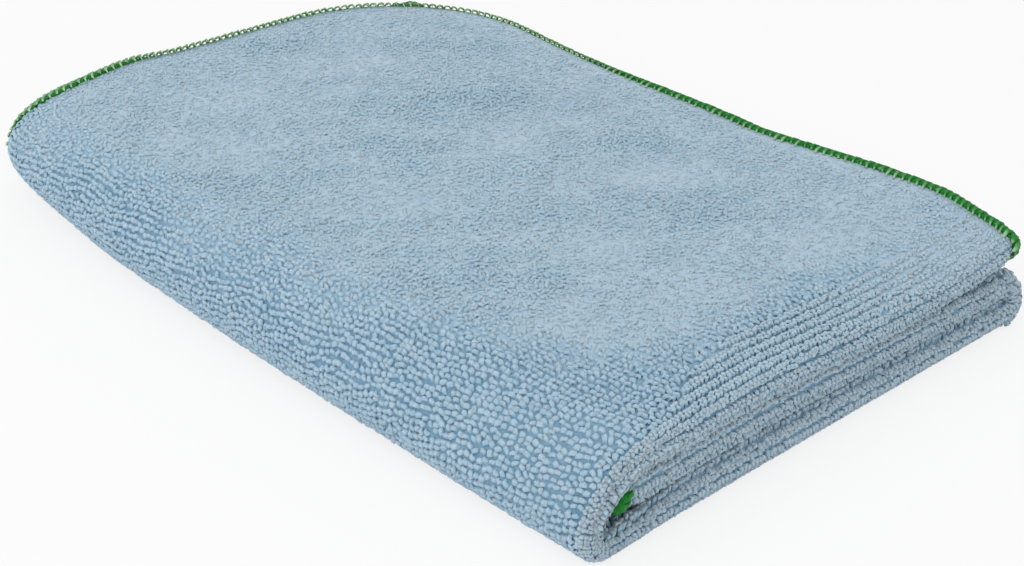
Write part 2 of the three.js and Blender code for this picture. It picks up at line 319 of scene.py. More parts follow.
def swell(distance):
    """1 at the middle of a swell and 0 from its rim outwards, with no kink at either."""
    return np.clip(1 - distance * distance, 0, None) ** 2


def smoothstep(x, low, high):
    """0 up to low, 1 from high on, and a smooth rise between them."""
    share = np.clip((x - low) / (high - low), 0, 1)
    return share * share * (3 - 2 * share)


def strip_path():
    """The path of the doubled strip seen from the first fold: along, x, z and outward normal."""
    low = PLY / 2 + PITCH / 2
    middle = low + 2 * PITCH
    high = low + 4 * PITCH
    widest = low + (high - low) * WRAP_WIDEST
    left = (PITCH + PLY - WIDTH) / 2
    right = -left
    rows = [(WIDTH / 2 + PAST_END, high, 0, 1), (WIDTH / 2, high, 0, 1)]
    turns = [math.pi / 2 * i / PATH_STEPS for i in range(2 * PATH_STEPS + 1)]
    arc = [(math.cos(turn), math.sin(turn)) for turn in turns]
    rise = high - widest
    for c, s in arc[: PATH_STEPS + 1]:
        rows.append((left + WRAP_UPPER * (1 - s), widest + rise * c, -rise * s, WRAP_UPPER * c))
    rise = widest - low
    for c, s in arc[1 : PATH_STEPS + 1]:
        rows.append((left + WRAP_LOWER * (1 - c), widest - rise * s, -rise * c, -WRAP_LOWER * s))
    for c, s in arc:
        x = right - RETURN_REACH * (1 - s)
        rows.append((x, low + PITCH * (1 - c), PITCH * s, -RETURN_REACH * c))
    path = np.array(rows, float)
    steps = np.hypot(*np.diff(path[:, :2], axis=0).T)
    along = np.concatenate([[0], np.cumsum(steps)]) - PAST_END
    last = (path[-1, 0] - (CLOTH + PAST_END - along[-1]), middle, 0, 1)
    return np.append(along, CLOTH + PAST_END), np.vstack([path, last])


PATH_ALONG, PATH = strip_path()
WRAP_START = PATH_ALONG[2]
WRAP_SIDE = PATH_ALONG[2 + PATH_STEPS]
WRAP_END = PATH_ALONG[2 + 2 * PATH_STEPS]
RETURN_START = PATH_ALONG[3 + 2 * PATH_STEPS]
RETURN_END = PATH_ALONG[3 + 4 * PATH_STEPS]


def settle(x, y, z, along, across):
    """The uneven way in which the tidy stack settles, in metres."""
    sideways = x / (WIDTH / 2)
    back = y / HALF_DEPTH
    wrap_share = np.clip((1 - sideways) / 2, 0, 1.2)
    end_share = np.clip((1 + sideways) / 2, 0, 1.2)
    from_curl = np.hypot(x + WIDTH / 2, y - HALF_DEPTH)
    from_front = np.hypot(x + WIDTH / 2, y + HALF_DEPTH)

    height = sum(
        tall * (1 + side * sideways) * (1 + far * back) / 4 for side, far, tall in CORNER_HEIGHTS
    )
    height = height * (1 - PINCH * swell(from_curl / PINCH_RADIUS))
    height = height * (1 - FRONT_PINCH * swell(from_front / FRONT_PINCH_RADIUS))
    up = z * height / STACK + CURL * swell(from_curl / CURL_RADIUS)
    for at_x, at_y, reach_x, reach_y, rise in SWELLS:
        distance = np.hypot((x - at_x) / reach_x, (y - at_y) / reach_y)
        up = up + rise * swell(distance) * (z / STACK) ** 2

    past_round = np.clip(y - (HALF_DEPTH - WRAP_END_RADIUS), 0, WRAP_END_RADIUS)
    rounding = WRAP_END_RADIUS - np.sqrt(WRAP_END_RADIUS**2 - past_round**2)
    out = wrap_share * (WRAP_SKEW * back + WRAP_BOW * (back * back - 1 / 3))
    out = out + wrap_share**2 * WRAP_END_ROUNDING * rounding
    out = out + end_share * (END_SKEW * back - END_SETBACK)
    front_share = np.clip((1 - back) / 2, 0, 1.2) ** 2
    out = out + wrap_share**3 * front_share * FRONT_LEAN * z / STACK
    past_return = np.maximum(RETURN_START - along, along - RETURN_END)
    out = out + RETURN_OUT * swell(np.clip(past_return, 0, None) / RETURN_OUT_ALONG)
    out = out - TUCK * smoothstep(along, CLOTH - TUCK_ALONG, CLOTH) * swell(across / TUCK_ACROSS)

    lift = np.clip(1 - along / LIFT_ALONG, 0, 1) * np.clip(1 - np.abs(across) / LIFT_ACROSS, 0, 1)
    up = up + LIFT * lift**2
    near_end = np.clip(1 - along / END_SOFT, 0, 1) ** 2
    for at, reach, wave_out, wave_up in END_WAVES:
        share = near_end * swell((np.abs(across) - at) / reach)
        out = out + wave_out * share
        up = up + wave_up * share
    out = out - END_DRAW * near_end * swell(across / END_DRAW_ACROSS)
    out = out - RIDGE_END * near_end * swell(across / RIDGE_END_ACROSS)

    inner = smoothstep(along, RETURN_START, RETURN_END)
    edges = LONG_EDGE_SKEW * sideways * np.clip((1 + back) / 2, 0, 1.2)
    return np.stack([x + out - MIDDLE_X, y + edges + INNER_RECESS * inner - MIDDLE_Y, up], -1) * MM


def pressed(along, across):
    """Share of the first fold's thickness that is lost at a point of the cloth."""
    on_wrap = smoothstep(along, WRAP_START - 14, WRAP_START + 5)
    on_wrap = on_wrap * (1 - smoothstep(along, WRAP_END - 3, WRAP_END + 20))
    return PRESSED * on_wrap * swell(across / PRESSED_ACROSS)


def place(along, across, above):
    """Folds points of the cloth into space, in metres."""
    along, across, above = np.broadcast_arrays(along, across, above)
    x, z, nx, nz = (np.interp(along, PATH_ALONG, PATH[:, i]) for i in range(4))
    size = np.hypot(nx, nz)
    thin = pressed(along, across)
    radius = FOLD_RADIUS * (1 - thin) + above * (1 - thin)
    outward = (FOLD_RADIUS + PLY / 2) * thin
    turn = np.clip(across / FOLD_RADIUS, -math.pi / 2, math.pi / 2)
    flat = np.clip(np.abs(across) - FOLD_REACH, 0, None)
    out = radius * np.sin(turn) + outward
    y = (PLY / 2 + FOLD_RADIUS) * (1 - thin) - radius * np.cos(turn) + flat - DEPTH / 2
    return settle(x + nx / size * out, y, z + nz / size * out, along, across)


def half_width(along):
    """Half the cloth's width at a station along it, less at the rounded corners."""
    into_corner = np.clip(np.abs(along - CLOTH / 2) - (CLOTH / 2 - CUT_RADIUS), 0, CUT_RADIUS)
    return CLOTH / 2 - CUT_RADIUS + np.sqrt(CUT_RADIUS**2 - into_corner**2)


def inside_rim(along, across):
    """How far a point of the cloth lies inside its cut edge."""
    past = CLOTH / 2 - CUT_RADIUS
    qa, qc = np.abs(along - CLOTH / 2) - past, np.abs(across) - past
    outside = np.hypot(np.clip(qa, 0, None), np.clip(qc, 0, None))
    return CUT_RADIUS - outside - np.clip(np.maximum(qa, qc), None, 0)


def soft_noise(seed, x, y, size, waves=24):
    """A smooth random field from about -1 to 1 over x and y, with features of about that size."""
    rng = np.random.default_rng(seed)
    total = np.zeros(np.broadcast(x, y).shape)
    for _ in range(waves):
        angle = rng.uniform(0, 2 * math.pi)
        rate = rng.uniform(0.6, 1.4) * math.pi / size
        phase = rng.uniform(0, 2 * math.pi)
        total += np.cos(rate * (x * math.cos(angle) + y * math.sin(angle)) + phase)
    return np.clip(total / math.sqrt(waves), -1, 1)


def fold_band(along):
    """How far the rows that follow the first fold reach, at a station along the cloth."""
    onto_wrap = smoothstep(along, WRAP_START - 40, WRAP_START + 4)
    off_wrap = smoothstep(along, WRAP_END, WRAP_END + 25)
    return TOP_BAND + (WRAP_BAND - TOP_BAND) * onto_wrap + (LOW_BAND - WRAP_BAND) * off_wrap


def slot_share(along, across):
    """How much longer the pile is beside the first fold, as a share of FLUFF."""
    turn = np.abs(across) / FOLD_RADIUS
    in_slot = (across < 0) | (along > RETURN_START)
    flank = swell((turn - SLOT_MIDDLE) / SLOT_REACH) * np.where(in_slot, 1.0, OPEN_SHARE)
    on_wrap = (along > WRAP_START - 4) & (along < WRAP_END + 8) & (across < 0)
    # Under the wrap the crest of the fold rests on the table, and its loops are short
    off_crest = np.where(along > WRAP_SIDE, smoothstep(-across, 0.8, 3.5), 1.0)
    return np.where(on_wrap, WRAP_SHARE * swell(across / WRAP_SLOT) * off_crest, flank)


def last_row(along):
    """How far across the last of the rows that follow the first fold lies."""
    rows = np.array(FOLD_ROWS) + FOLD_PAIR
    return rows[np.searchsorted(rows, fold_band(along) - 0.7, side="right") - 1]


def brushed(along, across):
    """How far the loops are brushed out of their rows: 1 over the middle of the top third.

    It fades on a wandering line where the wrap begins, and sooner near the first fold.
    """
    wander = 6 * soft_noise(3, along, across, 22)
    back_from_fold = 13 * swell(across / 75)
    from_wrap = smoothstep(WRAP_START - along + wander - back_from_fold, -17, 8)
    from_fold = smoothstep(across + wander / 2, TOP_BAND - 6, TOP_BAND + 12)
    near_end = 0.75 * smoothstep(WRAP_START - along, 45, 110) * smoothstep(across, -1, 3)
    return np.where(across > 0, from_wrap * np.maximum(from_fold, near_end), 0.0)


def standing(along, across):
    """Where the brushed nap stands up, towards 1, or is stroked flat, towards -1."""
    spot = place(along, across, PLY / 2) / MM
    x, y = spot[..., 0], spot[..., 1]
    total = 0.3 * soft_noise(11, along, across, 7)
    c, s = math.cos(PATCH_SLANT), math.sin(PATCH_SLANT)
    for at_x, at_y, reach, aside, amount in PATCHES:
        u = (x - at_x) * c + (y - at_y) * s
        v = (y - at_y) * c - (x - at_x) * s
        total = total + 0.9 * amount * swell(np.hypot(u / reach, v / aside) * 0.6)
    return np.clip(total, -0.55, 1)


def mesh_piece(name, points, quads, yarn, tip, material, uv=None):
    """A smooth-shaded mesh object from arrays of points and quads.

    yarn gives each point its place in the yarn, for the fibre pattern, and tip how far it is from
    the root of its loop.
    """
    mesh = bpy.data.meshes.new(name)
    mesh.vertices.add(len(points))
    mesh.vertices.foreach_set("co", points.astype(np.float32).ravel())
    mesh.loops.add(quads.size)
    mesh.loops.foreach_set("vertex_index", quads.astype(np.int32).ravel())
    mesh.polygons.add(len(quads))
    mesh.polygons.foreach_set("loop_start", np.arange(0, quads.size, 4, dtype=np.int32))
    mesh.polygons.foreach_set("use_smooth", np.ones(len(quads), bool))
    mesh.update(calc_edges=True)
    layer = mesh.attributes.new("yarn", "FLOAT_VECTOR", "POINT")
    layer.data.foreach_set("vector", yarn.astype(np.float32).ravel())
    layer = mesh.attributes.new("tip", "FLOAT", "POINT")
    layer.data.foreach_set("value", tip.astype(np.float32).ravel())
    if uv is not None:
        mesh.uv_layers.new(name="OFBake").data.foreach_set("uv", uv.astype(np.float32).ravel())
    mesh.materials.append(material)
    obj = bpy.data.objects.new(name, mesh)
    bpy.context.scene.collection.objects.link(obj)
    return obj


def tube_quads(count, stations, sides):
    """Quads of count tubes, each of so many stations and sides, and where each corner lies."""
    j, k = np.meshgrid(np.arange(stations - 1), np.arange(sides), indexing="ij")
    after = (k + 1) % sides
    here, ahead = j * sides, (j + 1) * sides
    one = np.stack([here + k, here + after, ahead + after, ahead + k], -1).reshape(-1, 4)
    start = np.arange(count)[:, None, None] * stations * sides
    quads = (start + one).reshape(-1, 4)
    run = np.stack([j, j, j + 1, j + 1], -1).reshape(-1, 4) / (stations - 1)
    round_it = np.stack([k, k + 1, k + 1, k], -1).reshape(-1, 4) / sides
    return quads, run, round_it


def cell_uv(count, run, round_it):
    """Lays each tube's surface out in a square cell of its own."""
    across = math.ceil(math.sqrt(count))
    cell = np.arange(count)
    u = (cell % across)[:, None, None] + 0.06 + 0.88 * run
    v = (cell // across)[:, None, None] + 0.06 + 0.88 * round_it
    return np.stack([u, v], -1).reshape(-1, 2) / across


def sweep(centre, wide, thick, sideways, sides):
    """Tubes along centre lines (count, stations, 3), in the cloth's own measures.

    wide and thick are the half sizes of the section, and sideways the direction of its width.
    """
    run = np.gradient(centre, axis=1)
    run /= np.linalg.norm(run, axis=2, keepdims=True) + 1e-9
    up = np.cross(sideways, run)
    up /= np.linalg.norm(up, axis=2, keepdims=True) + 1e-9
    side = np.cross(run, up)
    angle = 2 * math.pi * np.arange(sides) / sides
    ring_side = side[:, :, None, :] * (wide[..., None] * np.cos(angle))[..., None]
    ring_up = up[:, :, None, :] * (thick[..., None] * np.sin(angle))[..., None]
    return centre[:, :, None, :] + ring_side + ring_up


def yarn_places(count, stations, sides, run, half):
    """Places in the yarn, in millimetres: along it and over its section, tube after tube."""
    angle = 2 * math.pi * np.arange(sides) / sides
    places = np.empty((count, stations, sides, 3))
    places[..., 0] = np.linspace(0, run, stations)[None, :, None]
    places[..., 0] += (run + 2) * np.arange(count)[:, None, None]
    places[..., 1] = half * np.cos(angle)
    places[..., 2] = half * np.sin(angle)
    return places.reshape(-1, 3)


def even_rows(across, above, pitch, shift=0.0):
    """Stations along the cloth, spaced by pitch as measured on its folded face.

    They are counted from the side of the wrap, and shift moves them on by so many rows.
    """
    fine = np.linspace(0, CLOTH, 2001)
    steps = np.linalg.norm(np.diff(place(fine, across, above), axis=0), axis=1) / MM
    middle = (fine[1:] + fine[:-1]) / 2
    number = np.concatenate([[0], np.cumsum(steps / pitch(middle))])
    number = number - np.interp(WRAP_SIDE, fine, number) - shift
    return np.interp(np.arange(math.ceil(number[0]), number[-1]), number, fine)


def row_columns(row_pitch, pitch, side, face, slant=ROW_SLANT):
    """Loops on rows that run over the cloth from the first fold, a little aslant."""
    found = []
    for column in np.arange(pitch / 2, CLOTH / 2, pitch):
        shift = slant * (column - CLOTH / 4) / row_pitch(WRAP_SIDE)
        along = even_rows(side * column, face * PLY / 3, row_pitch, shift)
        found.append(np.stack(np.broadcast_arrays(along, side * column, face), -1))
    return np.concatenate(found)


def panel_spots(pile):
    """Where the loops of the panels stand: in rows across the cloth, and closer where brushed."""

    def row_pitch(along):
        low = smoothstep(along, WRAP_END, WRAP_END + 10)
        return (pile.wrap_rows + (pile.low_rows - pile.wrap_rows) * low) / MM

    in_rows = np.concatenate([
        row_columns(row_pitch, pile.loop_pitch / MM, side, face)
        for face in (1, -1)
        for side in (1, -1)
    ])
    nap = pile.nap_pitch / MM
    close = row_columns(lambda along: nap + 0 * along, nap, 1, 1, slant=0)

    # Rows give way to the close nap by the handful where the pile is brushed
    def taken(spots):
        along, across, face = spots.T
        handful = 0.38 * soft_noise(21, along, across, 2.6)
        return (face > 0) & (brushed(along, across) + handful > 0.5)

    in_rows = in_rows[~taken(in_rows)]
    close = close[taken(close)]
    spots = np.concatenate([in_rows, close])
    along, across, face = spots.T
    return spots[(np.abs(across) > last_row(along) + BAND_GAP) | (face < 0)]


def fold_spots(pile):
    """Where the loops along the first fold stand, on the face that shows."""
    found = []
    for row in (*(-row for row in FOLD_ROWS[:0:-1]), *FOLD_ROWS):
        for side in (-1, 1):
            apart = FOLD_PAIR if abs(row) > FOLD_REACH else FOLD_PAIR / FOLD_STRETCH
            along = even_rows(row, PLY / 3, lambda along: pile.fold_pitch / MM + 0 * along)
            along = along + pile.fold_pitch / MM / 4 * side
            found.append(np.stack(np.broadcast_arrays(along, row + side * apart, 1), -1))
    spots = np.concatenate(found)
    return spots[np.abs(spots[:, 1]) <= last_row(spots[:, 0]) + 0.1]


def cloth_loops(pile):
    """Every loop as a dict of arrays: where it stands, and the size and lie of its yarn."""
    rng = np.random.default_rng(pile.seed)
    panel = panel_spots(pile)
    spots = np.concatenate([panel, fold_spots(pile)])
    count = len(spots)
    on_fold = np.arange(count) >= len(panel)

    def spread(low, high):
        return rng.uniform(low, high, count)

    def size(which):
        row, brushed_out, fold = ROW_LOOP[which], BRUSHED_LOOP[which], FOLD_LOOP[which]
        return np.where(on_fold, fold, row + (brushed_out - row) * nap)

    along, across, face = spots.T
    nap = np.where(face > 0, brushed(along, across), 0)
    stand = np.where(face > 0, standing(along, across), 0)

    # The rows on the first fold are combed out towards the free end and round the small turn
    to_free_end = smoothstep(95 - along + 2.2 * across, 0, 70) * smoothstep(across, 0.5, 4)
    past_turn = np.abs(along - (RETURN_START + RETURN_END) / 2)
    combed = 0.8 * np.maximum(to_free_end, swell(past_turn / 30)) * on_fold

    loose = np.where(on_fold, 0.35 + 0.65 * combed, 0.5 + 0.5 * nap)
    along = along + 0.5 * soft_noise(5, along, across, 9) * ~on_fold + spread(-0.34, 0.34) * loose
    across = across + spread(-0.45, 0.45) * np.where(on_fold, 0.6, 1.0) * loose
    wide = size(0) * spread(0.76, 1.2)
    thick = size(1) * spread(0.85, 1.15)
    span = size(2) * spread(0.8, 1.25)
    uneven = np.where(on_fold, 0.45, 1.0)
    tall = (PLY / 2 - thick) * (1 + uneven * spread(-0.22, 0.12)) + 0.08 * stand * nap
    tall = tall + FLUFF * slot_share(along, across) * spread(0.8, 1.15)
    tall = tall * (1 - 0.55 * swell(inside_rim(along, across) / 5))

    mixed = np.maximum(nap, combed)
    tilt = rng.normal(0, 0.5, count) * np.where(on_fold, 0.5, 1.0) * (1 - mixed)
    tilt = tilt + spread(-1.57, 1.57) * mixed
    lean_way = spread(0, 2 * math.pi)
    lean = spread(0.05, 0.45) + nap * (0.3 - 0.2 * stand)
    # The loops' painted shade is shifted: lighter on the first fold and on the brushed nap, darker
    # where the nap stands up and lighter where it lies flat. The random part is the yarn's own tone.
    return dict(
        along=along, across=across, face=face, on_fold=on_fold,
        span=span, wide=wide, thick=thick, tall=tall,
        angle=math.pi / 2 + tilt,
        tone_and_painted_light=0.16 * on_fold + nap * (0.22 - 0.30 * stand) + spread(-0.08, 0.08) * uneven,
        lean_along=lean * np.cos(lean_way),
        lean_across=lean * np.sin(lean_way),
    )


def pile_piece(name, loops, stations, sides, material):
    """Joined loops of yarn: each is an arch that stands in the ground cloth and leans a little."""
    along, across, face = loops["along"], loops["across"], loops["face"]
    count = len(along)
    turn = np.linspace(FOOT_ANGLE, math.pi - FOOT_ANGLE, stations)
    c, s = np.cos(turn), np.sin(turn)
    cos_way, sin_way = np.cos(loops["angle"]), np.sin(loops["angle"])
    centre = np.empty((count, stations, 3))
    centre[..., 0] = (loops["span"] * cos_way)[:, None] * c + loops["lean_along"][:, None] * s**2
    centre[..., 1] = (loops["span"] * sin_way)[:, None] * c + loops["lean_across"][:, None] * s**2
    centre[..., 2] = loops["tall"][:, None] * s
    sideways = np.stack([-sin_way, cos_way, 0 * cos_way], -1)[:, None, :]
    fat = BLUNT + (1 - BLUNT) * s
    wide, thick = loops["wide"][:, None] * fat, loops["thick"][:, None] * fat
    rings = sweep(centre, wide, thick, sideways, sides)

    # The folds stretch the outer face and shorten the inner one, but not the yarn
    step = 0.5
    high = face * PLY / 3

    def stretch(a, b):
        apart = place(along + a, across + b, high) - place(along - a, across - b, high)
        return np.linalg.norm(apart, axis=1) / (2 * step * MM)

    stretch_along, stretch_across = stretch(step, 0), stretch(0, step)
    out_along = along[:, None, None] + rings[..., 0] / stretch_along[:, None, None]
    out_across = across[:, None, None] + rings[..., 1] / stretch_across[:, None, None]
    above = face[:, None, None] * np.clip(rings[..., 2], 0.02, None)
    points = place(out_along, out_across, above).reshape(-1, 3)
    points[:, 2] = np.maximum(points[:, 2], FLOOR_CLEAR * MM)

    quads, run, round_it = tube_quads(count, stations, sides)
    flip = np.repeat(face < 0, len(run))
    quads[flip] = quads[flip][:, ::-1]
    # Painted shade: the colour darkens from each loop's crown down to its roots
    tip = rings[..., 2] / (PLY / 2) + loops["tone_and_painted_light"][:, None, None]
    obj = mesh_piece(name, points, quads, yarn_places(count, stations, sides, 3.0, 0.5),
                     np.clip(tip, 0, 1), material, cell_uv(count, run, round_it))
    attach(obj, BODY)
    return obj


def pile_regions(loops):
    """Which loops go into which piece of the pile. Loops that no opening shows are left out.

    Each region has its mask and how finely a loop is drawn: points along it and round it.
    """
    along, across, face = loops["along"], loops["across"], loops["face"]
    margin = inside_rim(along, across)
    shows = (face > 0) & (margin > RIM_CLEAR)
    fold = shows & loops["on_fold"]
    outer = shows & (across > 0) & ~loops["on_fold"]
    on_wrap = (along >= WRAP_START) & (along < WRAP_END)
    on_bottom = (along >= WRAP_END) & (along < RETURN_START)
    outside = along < RETURN_END + TURN_DEPTH
    on_turn = (along >= RETURN_START) & outside
    pocket = shows & (np.abs(across) < POCKET_DEPTH)
    near_rim = (margin > RIM_CLEAR) & (margin < RIM_DEPTH)
    return {
        "top": (outer & (along < WRAP_START), 4, 4),
        "wrap": (outer & on_wrap, 4, 5),
        "first_fold": (fold, 4, 4),
        "underside": (outer & on_bottom, 3, 4),
        "turn": (outer & on_turn, 4, 4),
        "openings": ((pocket | near_rim) & ~(fold | (outer & outside)), 3, 4),
    }


def ground_piece(material):
    """The knitted ground: one thin folded layer, closed round its rim, with its matted nap."""
    # Its grid is closer where the cloth turns, and follows the rounded corners
    corner = CUT_RADIUS * (1 - np.cos(np.linspace(0, math.pi / 2, 9)))
    stations = np.concatenate([
        corner,
        np.linspace(CUT_RADIUS, WRAP_START, 28)[1:],
        np.linspace(WRAP_START, WRAP_END, 24)[1:],
        np.linspace(WRAP_END, RETURN_START, 26)[1:],
        np.linspace(RETURN_START, RETURN_END, 14)[1:],
        np.linspace(RETURN_END, CLOTH - CUT_RADIUS, 22)[1:],
        CLOTH - corner[-2::-1],
    ])
    plain = np.concatenate([np.linspace(FOLD_REACH, 14, 5)[1:], np.linspace(14, CLOTH / 2, 38)[1:]])
    fold = np.linspace(-FOLD_REACH, FOLD_REACH, 13)
    columns = np.concatenate([-plain[::-1], fold, plain])
    kept = CLOTH / 4
    past = np.clip(np.abs(columns) - kept, 0, None) / (CLOTH / 2 - kept)
    along = stations[:, None] + 0 * columns
    reach = half_width(along) - kept
    across = np.sign(columns) * (np.minimum(np.abs(columns), kept) + past * reach)

    inside = inside_rim(along, across) > GROUND_CLEAR
    nap = brushed(along, across) * (1 - NAP_SWING * standing(along, across)) * inside
    past_band = across - fold_band(along)
    feet = FEET * (1 - nap) * smoothstep(past_band, 0, 4)
    off_wrap = (along < WRAP_START - 4) | (along > WRAP_END + 14)
    matted = MATTED * slot_share(along, across) * off_wrap * inside
    shown = place(along, across, GROUND_HALF + NAP * nap + feet + FLUFF * matted)
    hidden = place(along, across, -GROUND_HALF)

    count = along.size
    index = np.arange(count).reshape(along.shape)
    face = np.stack([index[:-1, :-1], index[:-1, 1:], index[1:, 1:], index[1:, :-1]], -1)
    face = face.reshape(-1, 4)
    back = (face + count)[:, ::-1]
    rim = np.concatenate([index[0, :], index[1:, -1], index[-1, -2::-1], index[-2:0:-1, 0]])
    after = np.roll(rim, -1)
    lip = np.stack([after, rim, rim + count, after + count], -1)

    # Painted shade: bare ground between the loops, the groove by the rows of the first fold and the
    # hidden face take the dark colour deep between the loops. Nap and matted fibre are paler, and the
    # nap is darker where it stands up.
    bare = (1 - nap) * smoothstep(past_band, 1, 5)
    shade = NAP_TONE * nap + MATTED_TONE * matted + FEET_TONE * bare
    points = np.concatenate([shown.reshape(-1, 3), hidden.reshape(-1, 3)])
    yarn = np.stack([along, across, 0 * along], -1).reshape(-1, 3)
    tip = np.concatenate([shade.ravel(), 0 * shade.ravel()])
    obj = mesh_piece("terry_ground", points, np.concatenate([face, back, lip]),
                     np.concatenate([yarn, yarn]), tip, material)
    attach(obj, BODY)
    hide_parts("terry_cloth")
    return obj


def rim_at(distance):
    """The cut edge by the distance along it: along, across, and the direction off the cloth."""
    distance = np.mod(distance, RIM_LENGTH)
    number = np.floor(distance / SIDE)
    past = distance - number * SIDE
    quarter = -number * math.pi / 2
    go = np.stack([np.cos(quarter), np.sin(quarter)], -1)
    off = np.stack([-go[..., 1], go[..., 0]], -1)
    turned = np.clip(past - STRAIGHT, 0, None)[..., None] / CUT_RADIUS
    way = np.cos(turned) * off + np.sin(turned) * go
    start = off * (CLOTH / 2 - CUT_RADIUS) - go * STRAIGHT / 2
    spot = start + go * np.clip(past, 0, STRAIGHT)[..., None] + way * CUT_RADIUS
    return spot[..., 0] + CLOTH / 2, spot[..., 1], way[..., 0], way[..., 1]


def rim_point(distance, off, above):
    """Folds a point beside the cut edge into space: off is outwards from the edge."""
    along, across, off_along, off_across = rim_at(distance)
    return place(along + off_along * off, across + off_across * off, above)


def even_stitches(stitch):
    """Distances round the rim at which stitches start, evenly spaced on the outer face.

    The last one stands for the first stitch again, one lap on.
    """
    fine = np.linspace(0, RIM_LENGTH, 6401)
    faces = [np.diff(rim_point(fine, 0.6, side * PLY / 2), axis=0) for side in (1, -1)]
    steps = np.maximum(*(np.linalg.norm(face, axis=1) for face in faces))
    run = np.concatenate([[0], np.cumsum(steps)]) / MM
    return np.interp(np.linspace(0, run[-1], int(run[-1] / stitch) + 1), run, fine)


def on_stretch(distance, stretch):
    """1 on a stretch of the rim and 0 off it, with a smooth rise and fall at its ends."""
    past = np.mod(distance + RIM_LENGTH / 2, RIM_LENGTH) - RIM_LENGTH / 2
    comes, goes = stretch
    return smoothstep(past, *comes) * (1 - smoothstep(past, *goes))


def strand_piece(name, strand, starts, rng, material):
    """One strand of every stitch, wrapped over the edge."""
    table = np.array(strand)
    count = len(starts) - 1
    stations = len(table)
    jitter = rng.uniform(-1, 1, (count, 4))
    number = np.arange(count)[:, None] + table[:, 2] + 0.06 * jitter[:, :1]
    lap = np.floor(number / count)
    at = np.interp(number - lap * count, np.arange(count + 1), starts) + lap * RIM_LENGTH
    inner = np.clip(-table[:, 0], 0, None)
    off = table[:, 0] - 0.38 * jitter[:, 1:2] * inner
    above = table[:, 1] * (1 + 0.07 * jitter[:, 2:3])
    size = table[:, 3] * (1 + 0.18 * jitter[:, 3:4])
    size = size * (1 - SLIM_STRAND * on_stretch(at, SLIM_STRETCH))
    centre = np.stack([at, off + 0 * at, above + 0 * at], -1)
    forward = np.array([1.0, 0.0, 0.0])[None, None, :]
    rings = sweep(centre, size, size, forward, STRAND_SIDES)
    points = rim_point(rings[..., 0], rings[..., 1], rings[..., 2]).reshape(-1, 3)
    points[:, 2] = np.maximum(points[:, 2], FLOOR_CLEAR * MM)
    quads, run, round_it = tube_quads(count, stations, STRAND_SIDES)
    tooth = smoothstep(-rings[..., 1], *TOOTH) * (rings[..., 2] > 0)
    tooth = tooth + PALE * on_stretch(at, PALE_STRETCH)[..., None]
    obj = mesh_piece(name, points, quads, yarn_places(count, stations, STRAND_SIDES, 6.0, 0.6),
                     tooth, material, cell_uv(count, run, round_it))
    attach(obj, BODY)
    return obj


def core_piece(material):
    """The looper threads that lie along the edge under the stitches."""
    distance = np.arange(CORE_RINGS)[:, None] / CORE_RINGS * RIM_LENGTH
    angle = 2 * math.pi * np.arange(CORE_SIDES) / CORE_SIDES
    thin = 1 - SLIM_CORE * on_stretch(distance, SLIM_STRETCH)
    off = CORE_MIDDLE + CORE_OFF * np.cos(angle) * thin
    above = CORE_ABOVE * np.sin(angle) * thin
    points = rim_point(distance + 0 * off, off, above)
    index = np.arange(CORE_RINGS * CORE_SIDES).reshape(CORE_RINGS, CORE_SIDES)
    after = np.roll(index, -1, axis=0)
    quads = np.stack([index, after, np.roll(after, -1, axis=1), np.roll(index, -1, axis=1)], -1)
    yarn = np.broadcast_arrays(distance, 0.7 * np.cos(angle), 0.7 * np.sin(angle))
    obj = mesh_piece("overlock_core", points.reshape(-1, 3), quads.reshape(-1, 4),
                     np.stack(yarn, -1).reshape(-1, 3), 0 * off.ravel(), material)
    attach(obj, BODY)
    return obj


def add_node(tree, kind, inputs=None, **settings):
    """Adds a shader node, and sets its properties and its inputs.

    An input is a value, the socket that it comes from, or a node, whose first output is meant.
    """
    made = tree.nodes.new("ShaderNode" + kind)
    for key, value in settings.items():
        setattr(made, key, value)
    for key, value in (inputs or {}).items():
        if isinstance(value, bpy.types.Node):
            value = value.outputs[0]
        if isinstance(value, bpy.types.NodeSocket):
            tree.links.new(value, made.inputs[key])
        else:
            made.inputs[key].default_value = value
    return made


def new_material(name):
    material = bpy.data.materials.new(name)
    material.use_nodes = True
    material.node_tree.nodes.clear()
    return material, material.node_tree


def yarn_nodes(tree, scale):
    """How near a point is to its loop's crown, and filaments drawn out along the yarn."""
    yarn = add_node(tree, "Attribute", attribute_name="yarn")
    tip = add_node(tree, "Attribute", attribute_name="tip")
    drawn = add_node(tree, "Mapping", {"Vector": yarn.outputs["Vector"], "Scale": scale})
    strands = add_node(tree, "TexNoise", {"Vector": drawn, "Scale": 1.0, "Detail": 3.0})
    return tip.outputs["Fac"], strands


